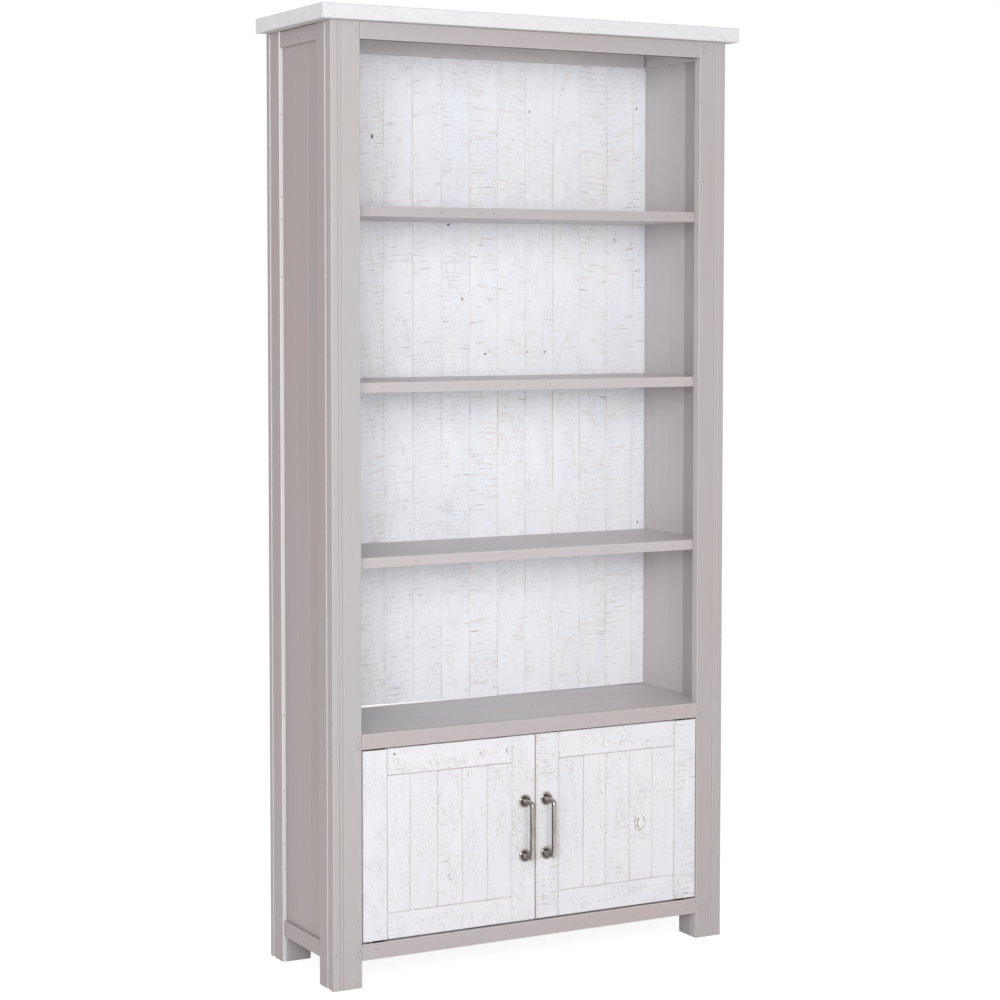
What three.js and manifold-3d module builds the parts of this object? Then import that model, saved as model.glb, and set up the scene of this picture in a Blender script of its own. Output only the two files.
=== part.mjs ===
// A tall bookcase: four open compartments over a cupboard with two hinged doors.
// Lengths are in millimetres. +X is to the right as one faces it, the front faces -Y, +Z is up.
// The origin is on the floor, in the middle of the box around the whole object.
import * as THREE from "three";
import { mergeVertices } from "three/addons/utils/BufferGeometryUtils.js";
import Module from "manifold-3d";

// The case as a whole
const overallHeight = 1900;
const caseWidth = 900;
const caseDepth = 304;
const fitGap = 0.3;
const edgeArris = 1;
const cutOverrun = 2;

// The top: two narrow edge boards with two wide boards between them
const topThickness = 29;
const topSideOverhang = 23;
const topFrontOverhang = 16;
const topEdgeBoardWidth = 45;

// The corner posts: stiles at front and back, a strip on the side, a foot block below
const stileWidth = 62;
const stileThickness = 20;
const rearStileThickness = 14;
const shadowGrooveWidth = 7.5;
const sideStripThickness = 9;
const frontPostDepth = 64;
const rearPostDepth = 62;
const faceQuirkPlaces = [15, 22];
const sideQuirkPlace = 10;
const quirkWidth = 2.2;
const quirkDepth = 1.4;

// Sides and back, of upright boards with a fine V at each joint
const sidePanelThickness = 6.7;
const sideBoardWidth = 58;
const backThickness = 9.7;
const backBoardWidth = 67;
const jointWidth = 1.6;
const jointDepth = 1.1;
const sideRailRecess = 2.5;
const sideTopRailHeight = 29;
const sideTopRailDrop = 3;
const sideBottomRailHeight = 32;
const cleatThickness = 9;
const cleatHeight = 31;
const rearRailThickness = 11.4;
const rearRailEndGap = 2;

// Levels, measured from the floor to the upper face of each board
const legHeight = 53;
const frontTopRailHeight = 34;
const middleRailHeight = 30;
const bottomRailHeight = 32;
const cupboardTopLevel = 498;
const topCompartmentHeight = 315.7;
const shelfNames = ["lower_shelf", "middle_shelf", "upper_shelf"];
const shelfThickness = 20;
const cupboardTopStep = 1;
const cupboardFrontBoardWidth = 138.7;
const backSlotHeight = 5;

// Tenons of the case rails and the door rails
const tenonLength = 15;
const tenonThickness = 8;
const tenonShoulder = 5;

// Doors, with the places of the joints between their boards as shares of the panel, left to right
const doorThickness = 20;
const doorSideGap = 3;
const doorMeetingGap = 3;
const doorTopGap = 3;
const doorBottomGap = 4;
const doorFrameWidth = 52;
const doorJointWidth = 0.8;
const doorJointDepth = 0.8;
const doorJointShares = { left: [0.178, 0.396, 0.594, 0.799], right: [0.212, 0.402, 0.607, 0.807] };

// Pivot hinges, let into the rails and into the ends of each door's hinge stile
const pinFromDoorEdge = 18;
const pinFromFront = 8;
const pinRadius = 3;
const pinPlay = 0.4;
const pinReach = 10;
const collarRadius = 5;
const hingePlateLength = 38;
const hingePlateWidth = 10;
const hingePlateThickness = 2.5;
const hingePlateEnd = 7;

// Handles: one casting, a bar on two stems with a round foot to each
const handleCentres = 111;
const handleFromMeetingEdge = 23.5;
const handleStandOff = 32;
const barRadius = 5;
const footRadius = 13.25;
const footHeight = 9;
const footRadiusShares = [1, 1, 0.95, 0.84, 0.64, 0.48];
const footHeightShares = [0, 0.2, 0.34, 0.42, 0.52, 0.7];

// The magnetic catch under the cupboard top, and a strike plate on each door
const catchLength = 46;
const catchDepth = 14;
const strikeFromMeetingEdge = 2.5;
const strikeLength = 18;
const strikeHeight = 12;
const strikeThickness = 1.2;

// How finely round shapes are faceted
const barSides = 16;
const footSides = 24;
const ballRings = 8;

// Places that follow from the sizes above
const halfCase = caseWidth / 2;
const handleReach = handleStandOff + barRadius;
const front = (handleReach - caseDepth) / 2;
const back = front + caseDepth;
const topUnderside = overallHeight - topThickness;
const postTop = topUnderside - fitGap;
const panelOuter = sideStripThickness + fitGap;
const insideWall = panelOuter + sidePanelThickness + fitGap;
const insideFront = front + stileThickness + fitGap;
const panelBack = back - rearStileThickness - fitGap;
const backFace = panelBack - backThickness;
const insideBack = backFace - fitGap;
const openingEdge = halfCase - stileWidth;
const floorLevel = legHeight + bottomRailHeight;
const middleRailUnderside = cupboardTopLevel - middleRailHeight;
const cupboardBoardTop = cupboardTopLevel - cupboardTopStep;
const cupboardBoardUnderside = cupboardBoardTop - shelfThickness;
const cleatUnderside = postTop - cleatHeight;
const topRailUnderside = postTop - frontTopRailHeight;
const upperShelfLevel = topRailUnderside - topCompartmentHeight;
const shelfPitch = (upperShelfLevel - cupboardTopLevel) / shelfNames.length;
const doorBottom = floorLevel + doorBottomGap;
const doorTop = middleRailUnderside - doorTopGap;
const doorBack = front + doorThickness;
const doorHingeEdge = openingEdge - doorSideGap;
const doorMeetingEdge = doorMeetingGap / 2;

const paint = new THREE.MeshStandardMaterial({ color: 0xbdb5b3, roughness: 0.55, metalness: 0 });
const limedPine = new THREE.MeshStandardMaterial({ color: 0xe4e5e9, roughness: 0.75, metalness: 0 });
const nickel = new THREE.MeshStandardMaterial({ color: 0x8e8279, roughness: 0.3, metalness: 1 });
const zincSteel = new THREE.MeshStandardMaterial({ color: 0xb4b6b8, roughness: 0.4, metalness: 1 });
const whitePlastic = new THREE.MeshStandardMaterial({ color: 0xe6e4de, roughness: 0.5, metalness: 0 });

const wasm = await Module();
wasm.setup();
const bookcase = new THREE.Group();
const hands = [{ hand: "left", sign: -1 }, { hand: "right", sign: 1 }];
const up = new THREE.Vector3(0, 0, 1);
const down = new THREE.Vector3(0, 0, -1);
const forwards = new THREE.Vector3(0, -1, 0);

/** The closed geometry as a solid that can be joined and cut. */
function toSolid(geometry) {
  const bare = geometry.clone();
  bare.deleteAttribute("normal");
  bare.deleteAttribute("uv");
  const merged = mergeVertices(bare);
  const corners = merged.index.array;
  const kept = [];
  for (let i = 0; i < corners.length; i += 3) {
    const [a, b, c] = corners.slice(i, i + 3);
    if (a !== b && b !== c && c !== a) kept.push(a, b, c);
  }
  return new wasm.Manifold(new wasm.Mesh({
    numProp: 3,
    vertProperties: new Float32Array(merged.attributes.position.array),
    triVerts: new Uint32Array(kept),
  }));
}

/** A solid's vertices and triangles as a geometry. */
function toGeometry(solid) {
  const mesh = solid.getMesh();
  const geometry = new THREE.BufferGeometry();
  geometry.setAttribute("position", new THREE.BufferAttribute(mesh.vertProperties, 3));
  geometry.setIndex(new THREE.BufferAttribute(mesh.triVerts, 1));
  return geometry;
}

/** Joins geometries that run into each other. */
function joined(geometries) {
  return toGeometry(geometries.map(toSolid).reduce((whole, next) => whole.add(next)));
}

/** Takes cutters out of a geometry. All of them are in the same frame. */
function carved(geometry, cutters) {
  geometry.computeBoundingBox();
  const near = cutters.filter((cutter) => {
    cutter.computeBoundingBox();
    return cutter.boundingBox.intersectsBox(geometry.boundingBox);
  });
  if (near.length === 0) return geometry;
  return toGeometry(near.map(toSolid).reduce((rest, cutter) => rest.subtract(cutter), toSolid(geometry)));
}

/** Adds a named piece whose geometry is in the case's frame, with its own origin at its middle. */
function addPiece(name, material, geometry) {
  geometry.computeBoundingBox();
  const middle = geometry.boundingBox.getCenter(new THREE.Vector3());
  const mesh = new THREE.Mesh(geometry.translate(-middle.x, -middle.y, -middle.z), material);
  mesh.name = name;
  mesh.position.copy(middle);
  bookcase.add(mesh);
}

/** Two numbers as a span, the lower one first. */
function span(one, other) {
  return [Math.min(one, other), Math.max(one, other)];
}

/** A span across X, from two distances inwards of the case's side. sign is -1 on the left. */
function fromSide(sign, near, far) {
  return span(sign * (halfCase - near), sign * (halfCase - far));
}

/** An outline in X and Y, pulled up along Z from one height to another. */
function prism(points, low, high) {
  const shape = new THREE.Shape(points.map(([x, y]) => new THREE.Vector2(x, y)));
  return new THREE.ExtrudeGeometry(shape, { depth: high - low, bevelEnabled: false }).translate(0, 0, low);
}

/** A plain block that fills three spans, grown by a margin. */
function block(spans, margin = 0) {
  const [x, y, z] = spans.map(([low, high]) => (low + high) / 2);
  const [width, depth, height] = spans.map(([low, high]) => high - low + 2 * margin);
  return new THREE.BoxGeometry(width, depth, height).translate(x, y, z);
}

/** A board that fills three spans, with its four long edges eased, along the named axis. */
function board(along, spans) {
  const [x, y, z] = spans.map(([low, high]) => (low + high) / 2);
  const [width, depth, height] = spans.map(([low, high]) => (high - low) / 2);
  const [a, b, length] = {
    x: [height, depth, width],
    y: [width, height, depth],
    z: [width, depth, height],
  }[along];
  const geometry = prism([
    [edgeArris - a, -b], [a - edgeArris, -b], [a, edgeArris - b], [a, b - edgeArris],
    [a - edgeArris, b], [edgeArris - a, b], [-a, b - edgeArris], [-a, edgeArris - b],
  ], -length, length);
  if (along === "x") geometry.rotateY(Math.PI / 2);
  if (along === "y") geometry.rotateX(-Math.PI / 2);
  return geometry.translate(x, y, z);
}

/** A profile of [radius, height] points turned about an axis through `at` that points `toward`. */
function turned(profile, at, toward, sides) {
  const points = profile.map(([radius, height]) => new THREE.Vector2(radius, height));
  const turn = new THREE.Quaternion().setFromUnitVectors(new THREE.Vector3(0, 1, 0), toward);
  return new THREE.LatheGeometry(points, sides).applyQuaternion(turn).translate(at.x, at.y, at.z);
}

/** A round bar, or a cutter for a hole, from `at` for a length towards `toward`. */
function rod(radius, length, at, toward) {
  return turned([[0, 0], [radius, 0], [radius, length], [0, length]], at, toward, barSides);
}

/** A rail between two stiles, with the tenon that goes into each, and the mortises it needs. */
function tenonedRail([low, high], [near, far], [bottom, top]) {
  const middle = (near + far) / 2;
  const tenon = [
    [low - tenonLength, high + tenonLength],
    [middle - tenonThickness / 2, middle + tenonThickness / 2],
    [bottom + tenonShoulder, top - tenonShoulder],
  ];
  const body = joined([board("x", [[low, high], [near, far], [bottom, top]]), block(tenon)]);
  return { body, mortises: block(tenon, fitGap) };
}

// The top
const topX = [-halfCase - topSideOverhang, halfCase + topSideOverhang];
const topFront = front - topFrontOverhang;
const topMiddle = (topFront + back) / 2;
const topJoints = [topFront, topFront + topEdgeBoardWidth, topMiddle, back - topEdgeBoardWidth, back];
const topNames = ["top_front_board", "top_middle_front_board", "top_middle_rear_board", "top_rear_board"];
topNames.forEach((name, i) => {
  const near = topJoints[i] + (i > 0 ? fitGap : 0);
  addPiece(name, limedPine, board("x", [topX, [near, topJoints[i + 1]], [topUnderside, overallHeight]]));
});

/** The spans of a hinge plate that is let in from a face. `into` is up or down, into the wood. */
function plateSpans(sign, face, into) {
  const pin = sign * (doorHingeEdge - pinFromDoorEdge);
  const outerEnd = pin + sign * hingePlateEnd;
  const middle = front + pinFromFront;
  return [
    span(outerEnd, outerEnd - sign * hingePlateLength),
    [middle - hingePlateWidth / 2, middle + hingePlateWidth / 2],
    span(face, face + into.z * hingePlateThickness),
  ];
}

/** The recess that a hinge plate lies in, cut from outside the wood's face. */
function plateRecess(sign, face, into) {
  const [x, y] = plateSpans(sign, face, into);
  const z = span(face - into.z * cutOverrun, face + into.z * hingePlateThickness);
  return block([x, y, z], fitGap);
}

// Pivot hinges: a plate with a pin in the rail, and a plate with a hole in the end of the door
const railCuts = [];
const doorCuts = { left: [], right: [] };
for (const { hand, sign } of hands) {
  for (const [level, railFace, doorFace, intoRail, intoDoor] of [
    ["upper", middleRailUnderside, doorTop, up, down],
    ["lower", floorLevel, doorBottom, down, up],
  ]) {
    const pinX = sign * (doorHingeEdge - pinFromDoorEdge);
    const axis = new THREE.Vector3(pinX, front + pinFromFront, railFace);
    const root = axis.clone().addScaledVector(intoRail, hingePlateThickness);
    const gap = Math.abs(doorFace - railFace);
    const leaf = [block(plateSpans(sign, railFace, intoRail))];
    leaf.push(rod(pinRadius, hingePlateThickness + gap + pinReach, root, intoDoor));
    if (level === "lower") leaf.push(rod(collarRadius, hingePlateThickness + gap - fitGap, root, intoDoor));
    addPiece(`${hand}_${level}_hinge_pin_plate`, zincSteel, joined(leaf));

    const hole = rod(pinRadius + pinPlay, gap + pinReach + fitGap, axis, intoDoor);
    const socket = carved(block(plateSpans(sign, doorFace, intoDoor)), [hole]);
    addPiece(`${hand}_${level}_hinge_socket_plate`, zincSteel, socket);
    railCuts.push(plateRecess(sign, railFace, intoRail));
    doorCuts[hand].push(plateRecess(sign, doorFace, intoDoor), hole);
  }
}

// Front rails, tenoned between the front stiles
const railReach = openingEdge - fitGap;
const mortises = [];
for (const [name, bottom, top] of [
  ["front_top_rail", topRailUnderside, postTop],
  ["front_middle_rail", middleRailUnderside, cupboardTopLevel],
  ["front_bottom_rail", legHeight, floorLevel],
]) {
  const rail = tenonedRail([-railReach, railReach], [front, front + stileThickness], [bottom, top]);
  mortises.push(rail.mortises);
  addPiece(name, paint, carved(rail.body, railCuts));
}

/** A front stile's outline, with two quirks down its face and one down its outer side. */
function stileOutline(sign) {
  const half = quirkWidth / 2;
  const quirk = (place) => [[place - half, 0], [place, quirkDepth], [place + half, 0]];
  const face = faceQuirkPlaces.flatMap(quirk);
  const outline = [
    [edgeArris, 0], ...face, [stileWidth - edgeArris, 0], [stileWidth, edgeArris],
    [stileWidth, stileThickness], [0, stileThickness], [0, sideQuirkPlace + half],
    [quirkDepth, sideQuirkPlace], [0, sideQuirkPlace - half], [0, edgeArris],
  ];
  return outline.map(([inward, depth]) => [sign * (halfCase - inward), front + depth]);
}

// Corner posts: front and rear stiles, side strips and foot blocks
const frontStripY = [front + stileThickness + shadowGrooveWidth, front + frontPostDepth];
const rearStripY = [back - rearPostDepth, back - rearStileThickness - shadowGrooveWidth];
for (const { hand, sign } of hands) {
  addPiece(`front_${hand}_stile`, paint, carved(prism(stileOutline(sign), 0, postTop), mortises));
  const rearX = fromSide(sign, 0, stileWidth);
  const rearY = [back - rearStileThickness, back];
  addPiece(`rear_${hand}_stile`, paint, board("z", [rearX, rearY, [0, postTop]]));
  for (const [end, stripY, footY] of [
    ["front", frontStripY, [insideFront, front + frontPostDepth]],
    ["rear", rearStripY, [back - rearPostDepth, panelBack]],
  ]) {
    const stripX = fromSide(sign, 0, sideStripThickness);
    addPiece(`${end}_${hand}_side_strip`, paint, board("z", [stripX, stripY, [0, postTop]]));
    const footX = fromSide(sign, panelOuter, stileWidth);
    addPiece(`${end}_${hand}_foot`, paint, board("z", [footX, footY, [0, legHeight - fitGap]]));
  }
}

// Side rails between the strips, and cleats inside that carry the top
for (const { hand, sign } of hands) {
  const railX = fromSide(sign, sideRailRecess, sideStripThickness);
  const railY = [front + frontPostDepth + fitGap, back - rearPostDepth - fitGap];
  const railTop = topUnderside - sideTopRailDrop;
  const topZ = [railTop - sideTopRailHeight, railTop];
  addPiece(`${hand}_side_top_rail`, paint, board("y", [railX, railY, topZ]));
  const bottomZ = [legHeight, legHeight + sideBottomRailHeight];
  addPiece(`${hand}_side_bottom_rail`, paint, board("y", [railX, railY, bottomZ]));
  const cleatX = fromSide(sign, insideWall, insideWall + cleatThickness);
  const cleatY = [insideFront, insideBack];
  addPiece(`${hand}_top_cleat`, paint, board("y", [cleatX, cleatY, [cleatUnderside, postTop]]));
}

/** The places of the joints in a panel, from its middle, with a board or a joint in the middle. */
function jointPlaces(width, boardWidth, boardInMiddle) {
  const places = [];
  const start = boardInMiddle ? boardWidth / 2 : 0;
  for (let place = start; place < width / 2 - jointWidth; place += boardWidth) {
    places.push(place);
    if (place > 0) places.unshift(-place);
  }
  return places;
}

/** The outline of boards edge to edge, as [across, through], with a V at each joint on both faces. */
function boardedOutline([low, high], thickness, joints, width, depth) {
  const half = width / 2;
  const nearFace = joints.flatMap((at) => [[at - half, 0], [at, depth], [at + half, 0]]);
  const farFace = nearFace.map(([across, through]) => [across, thickness - through]).reverse();
  return [[low, 0], ...nearFace, [high, 0], [high, thickness], ...farFace, [low, thickness]];
}

// Side panels
const panelY = [insideFront, panelBack];
const panelMiddle = (insideFront + panelBack) / 2;
const sideJoints = jointPlaces(panelBack - insideFront, sideBoardWidth, true)
  .map((place) => panelMiddle + place);
const sideOutline = boardedOutline(panelY, sidePanelThickness, sideJoints, jointWidth, jointDepth);
for (const { hand, sign } of hands) {
  const outline = sideOutline
    .map(([across, through]) => [sign * (halfCase - panelOuter - through), across]);
  addPiece(`${hand}_side_panel`, paint, prism(outline, legHeight, postTop));
}

// Back boards above and below the cupboard top, and the rail under the top in front of them
const insideX = [insideWall - halfCase, halfCase - insideWall];
const backJoints = jointPlaces(2 * (halfCase - insideWall), backBoardWidth, false);
const backOutline = boardedOutline(insideX, backThickness, backJoints, jointWidth, jointDepth)
  .map(([across, through]) => [across, backFace + through]);
addPiece("lower_back_boards", limedPine, prism(backOutline, legHeight, cupboardBoardTop));
addPiece("upper_back_boards", limedPine, prism(backOutline, cupboardBoardTop + backSlotHeight, postTop));
const rearRailReach = halfCase - insideWall - cleatThickness - rearRailEndGap;
const rearRailY = [insideBack - rearRailThickness, insideBack];
const rearRailX = [-rearRailReach, rearRailReach];
addPiece("rear_top_rail", paint, board("x", [rearRailX, rearRailY, [cleatUnderside, postTop]]));

// Fixed shelves, the cupboard's top of two boards, and its floor
const shelfY = [insideFront, insideBack];
const cupboardSplit = insideFront + cupboardFrontBoardWidth;
const fixedBoards = [
  ["cupboard_floor", shelfY, floorLevel],
  ["cupboard_top_front_board", [insideFront, cupboardSplit], cupboardBoardTop],
  ["cupboard_top_rear_board", [cupboardSplit + fitGap, insideBack], cupboardBoardTop],
  ...shelfNames.map((name, i) => [name, shelfY, cupboardTopLevel + (i + 1) * shelfPitch]),
];
for (const [name, y, top] of fixedBoards) {
  addPiece(name, paint, board("x", [insideX, y, [top - shelfThickness, top]]));
}

// The magnetic catch, which both doors close against
const catchFront = doorBack + strikeThickness + 2 * fitGap;
addPiece("magnetic_catch", whitePlastic, board("x", [
  [-catchLength / 2, catchLength / 2],
  [catchFront, catchFront + catchDepth],
  [doorTop - strikeHeight, cupboardBoardUnderside - fitGap],
]));

/** A handle's casting: grip, rounded corners, stems and feet, on a door face at a height. */
function handleCasting(x, face, middle) {
  const flare = footRadiusShares
    .map((share, i) => [share * footRadius, footHeightShares[i] * footHeight]);
  const profile = [[0, 0], ...flare, [barRadius, footHeight], [0, footHeight]];
  const solids = [];
  for (const [z, toward] of [[middle - handleCentres / 2, up], [middle + handleCentres / 2, down]]) {
    const foot = new THREE.Vector3(x, face - fitGap, z);
    const corner = new THREE.Vector3(x, face - handleStandOff, z);
    solids.push(turned(profile, foot, forwards, footSides));
    solids.push(rod(barRadius, handleStandOff - fitGap, foot, forwards));
    solids.push(new THREE.SphereGeometry(barRadius, barSides, ballRings).translate(...corner));
    if (toward === up) solids.push(rod(barRadius, handleCentres, corner, up));
  }
  return joined(solids);
}

// Doors: a frame of two stiles and two tenoned rails round flush boards, with a handle and a strike
for (const { hand, sign } of hands) {
  const across = (near, far) => span(sign * near, sign * far);
  const thick = [front, doorBack];
  const panelX = across(doorMeetingEdge + doorFrameWidth + fitGap, doorHingeEdge - doorFrameWidth - fitGap);
  const cuts = doorCuts[hand];
  for (const [name, bottom, top] of [
    ["top_rail", doorTop - doorFrameWidth, doorTop],
    ["bottom_rail", doorBottom, doorBottom + doorFrameWidth],
  ]) {
    const rail = tenonedRail(panelX, thick, [bottom, top]);
    addPiece(`${hand}_door_${name}`, limedPine, carved(rail.body, doorCuts[hand]));
    cuts.push(rail.mortises);
  }
  for (const [name, near, far] of [
    ["meeting_stile", doorMeetingEdge, doorMeetingEdge + doorFrameWidth],
    ["hinge_stile", doorHingeEdge - doorFrameWidth, doorHingeEdge],
  ]) {
    const stile = board("z", [across(near, far), thick, [doorBottom, doorTop]]);
    addPiece(`${hand}_door_${name}`, limedPine, carved(stile, cuts));
  }
  const joints = doorJointShares[hand].map((share) => THREE.MathUtils.lerp(...panelX, share));
  const outline = boardedOutline(panelX, doorThickness, joints, doorJointWidth, doorJointDepth)
    .map(([x, through]) => [x, front + through]);
  const panelBottom = doorBottom + doorFrameWidth + fitGap;
  const panelTop = doorTop - doorFrameWidth - fitGap;
  addPiece(`${hand}_door_panel`, limedPine, prism(outline, panelBottom, panelTop));

  const handleX = sign * (doorMeetingEdge + handleFromMeetingEdge);
  addPiece(`${hand}_door_handle`, nickel, handleCasting(handleX, front, (doorBottom + doorTop) / 2));
  const strikeNear = doorMeetingEdge + strikeFromMeetingEdge;
  addPiece(`${hand}_catch_strike`, zincSteel, block([
    across(strikeNear, strikeNear + strikeLength),
    [doorBack + fitGap, doorBack + fitGap + strikeThickness],
    [doorTop - strikeHeight, doorTop],
  ]));
}

export default bookcase;
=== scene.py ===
import math

import bpy
import numpy as np
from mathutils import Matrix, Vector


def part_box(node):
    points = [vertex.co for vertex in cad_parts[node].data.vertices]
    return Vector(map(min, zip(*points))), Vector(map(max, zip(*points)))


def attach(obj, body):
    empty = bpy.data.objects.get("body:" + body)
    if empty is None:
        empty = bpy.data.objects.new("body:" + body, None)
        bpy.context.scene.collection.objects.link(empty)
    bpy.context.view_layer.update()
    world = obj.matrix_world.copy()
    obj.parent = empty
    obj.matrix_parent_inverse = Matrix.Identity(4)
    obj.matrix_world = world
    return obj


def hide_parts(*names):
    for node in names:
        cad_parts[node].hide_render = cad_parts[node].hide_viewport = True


# A tall bookcase over a cupboard with two doors: taupe-painted case, whitewashed pine top, back and doors.
# Lengths are in metres and angles in radians. The front faces -Y, +X is to the right as one faces it, and
# +Z is up.
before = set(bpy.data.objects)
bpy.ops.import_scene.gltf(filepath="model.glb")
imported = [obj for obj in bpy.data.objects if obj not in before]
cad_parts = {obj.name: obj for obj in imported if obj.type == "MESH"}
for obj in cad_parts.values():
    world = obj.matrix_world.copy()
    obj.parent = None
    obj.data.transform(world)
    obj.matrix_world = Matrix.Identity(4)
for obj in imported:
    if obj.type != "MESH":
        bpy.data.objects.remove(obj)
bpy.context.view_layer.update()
scene = bpy.context.scene
scene.view_settings.view_transform = "Standard"

# The camera stands a good four metres in front of the bookcase, well to its left and a little above its
# middle, with a longish lens. It looks slightly down, and its frame is shifted a little to the same end.
camera_place = (-2.3852, -4.3042, 1.3407)
camera_down_tilt = 0.0584
camera_turn = -0.4941
camera_lens = 86.57
camera_shift = (0.025, -0.06)
camera_data = bpy.data.cameras.new("camera")
camera_data.lens = camera_lens
camera_data.shift_x, camera_data.shift_y = camera_shift
camera = bpy.data.objects.new("camera", camera_data)
camera.location = camera_place
camera.rotation_euler = (math.pi / 2 - camera_down_tilt, 0, camera_turn)
scene.collection.objects.link(camera)
scene.camera = camera

# The two front stiles stand the full height of the case. Each is a planed board with two fine quirks down
# its face and one down its outer side, painted by brush, its arrises eased by sandpaper.
stile_width = 0.062
stile_thickness = 0.020
stile_arris = 0.0014
quirk_places = (0.015, 0.022)
side_quirk_place = 0.010
quirk_width = 0.0022
quirk_depth = 0.0014
quirk_arris = 0.0003
stile_row_spacing = 0.05
rub_reach = 0.004
arc_share_most = 0.4
arc_steps = 4
end_arc_rows = 4
end_flat_share = 1.5
sharp_angle = math.radians(40)
chance = np.random.default_rng(1907)


def rounded_outline(corners, radii, wear_and_highlight):
    """A closed outline with each corner turned into an arc.

    An arc's ends lie the radius along its two sides, or at most a share of the shorter one, and its points
    are start * (1 - turn)^2 + corner * 2 * turn * (1 - turn) + end * turn^2. Marks are the corner's own mark
    on its arc (above 0 for wear with a painted highlight, below 0 for painted shade) and 0 on the flats,
    each of which has two more points, the reach of the rubbing from its ends.
    """
    corners = np.array(corners, float)
    before = np.roll(corners, 1, axis=0) - corners
    after = np.roll(corners, -1, axis=0) - corners
    long_before = np.linalg.norm(before, axis=1, keepdims=True)
    long_after = np.linalg.norm(after, axis=1, keepdims=True)
    reach_most = arc_share_most * np.minimum(long_before, long_after)
    reach = np.minimum(np.array(radii, float)[:, None], reach_most)
    start = corners + before / long_before * reach
    end = corners + after / long_after * reach
    turn = np.linspace(0, 1, arc_steps + 1)[None, :, None]
    arc = (1 - turn) ** 2 * start[:, None] + 2 * turn * (1 - turn) * corners[:, None]
    arc = arc + turn ** 2 * end[:, None]
    flat = np.roll(start, -1, axis=0) - end
    flat_long = np.linalg.norm(flat, axis=1, keepdims=True)
    rub = np.minimum(rub_reach, flat_long / 3)
    near = end + flat / flat_long * rub
    far = np.roll(start, -1, axis=0) - flat / flat_long * rub
    points = np.concatenate([arc, near[:, None], far[:, None]], axis=1).reshape(-1, 2)
    marks = np.concatenate([[wear] * (arc_steps + 1) + [0.0, 0.0] for wear in wear_and_highlight])
    return points, marks


def skin(rings, edge, grain, board):
    """A closed skin over rings of points, each joined to the next all round, with a flat face on both ends.

    Its faces are turned outwards, judged by the sign of the volume that they enclose. The marks are the
    wear of the edges, the place in the grain, and a number between 0 and 1 that is the board's own.
    """
    count, around = rings.shape[:2]
    here = np.arange(count * around).reshape(count, around)
    beside = np.roll(here, -1, axis=1)
    quads = np.stack([here[:-1], beside[:-1], beside[1:], here[1:]], axis=-1).reshape(-1, 4)
    points = rings.reshape(-1, 3)
    middle = points.mean(axis=0)
    a, b, c, d = (points[quads[:, k]] - middle for k in range(4))
    volume = np.sum(np.cross(a, b) * c) + np.sum(np.cross(a, c) * d)
    faces = quads.tolist() + [here[0, ::-1].tolist(), here[-1].tolist()]
    if volume < 0:
        faces = [face[::-1] for face in faces]
    return {"points": points, "faces": faces, "edge": edge.reshape(-1), "grain": grain.reshape(-1, 3),
            "board": np.full(len(points), board)}


def end_rows(length, rounding, spacing):
    """Places along a board, the inset of its section at each and its edge mark there.

    The inset follows a quarter circle at both ends: rounding * (1 - cos) against rounding * (1 - sin). One
    more row on each end's flat, a little further in, keeps the wear of the arris off the end grain.
    """
    turn = np.linspace(math.pi / 2, 0, end_arc_rows)
    near = np.concatenate([[0.0], rounding * (1 - np.sin(turn))])
    inset = np.concatenate([[rounding * end_flat_share], rounding * (1 - np.cos(turn))])
    rub = min(rounding + rub_reach, length / 3)
    inner = np.linspace(rub, length - rub, max(2, int(length / spacing)))
    places = np.concatenate([near, inner, length - near[::-1]])
    insets = np.concatenate([inset, inner * 0, inset[::-1]])
    wear = np.concatenate([[0.0], turn * 0 + 1])
    marks = np.concatenate([wear, inner * 0, wear[::-1]])
    return places, insets, marks


def moulding(outline, marks, low, high):
    """An upright board. Its outline, seen from above, is carried straight up from its foot to its top."""
    places = end_rows(high - low, stile_arris, stile_row_spacing)[0][1:-1]
    rings = np.zeros((len(places), len(outline), 3))
    rings[..., :2] = outline
    rings[..., 2] = low + places[:, None]
    grain = np.zeros_like(rings)
    grain[..., 0] = places[:, None]
    grain[..., 1:] = outline - (outline.min(axis=0) + outline.max(axis=0)) / 2
    return skin(rings, np.tile(marks, (len(places), 1)), grain, chance.random())


def assemble(name, skins, material, body, nodes, marks=()):
    """One piece from one or more closed skins. Its points keep the marks that its material reads."""
    starts = np.cumsum([0] + [len(part["points"]) for part in skins]).tolist()
    faces = [[corner + start for corner in face]
             for part, start in zip(skins, starts) for face in part["faces"]]
    mesh = bpy.data.meshes.new(name)
    mesh.from_pydata(np.concatenate([part["points"] for part in skins]).tolist(), [], faces)
    for mark in ("edge", "board", "grain", *marks):
        values = np.concatenate([part[mark] for part in skins]).astype(np.float32)
        kind, field = ("FLOAT", "value") if values.ndim == 1 else ("FLOAT_VECTOR", "vector")
        mesh.attributes.new(mark, kind, "POINT").data.foreach_set(field, values.reshape(-1))
    mesh.shade_smooth()
    mesh.set_sharp_from_angle(angle=sharp_angle)
    mesh.materials.append(material)
    piece = bpy.data.objects.new(name, mesh)
    scene.collection.objects.link(piece)
    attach(piece, body)
    if nodes:
        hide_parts(*nodes)
    return piece


def srgb(red, green, blue):
    """A screen colour, 0 to 255, as the linear colour with alpha that a shader takes."""
    value = np.array([red, green, blue]) / 255
    linear = np.where(value <= 0.04045, value / 12.92, ((value + 0.055) / 1.055) ** 2.4)
    return (*linear.tolist(), 1.0)


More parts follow.
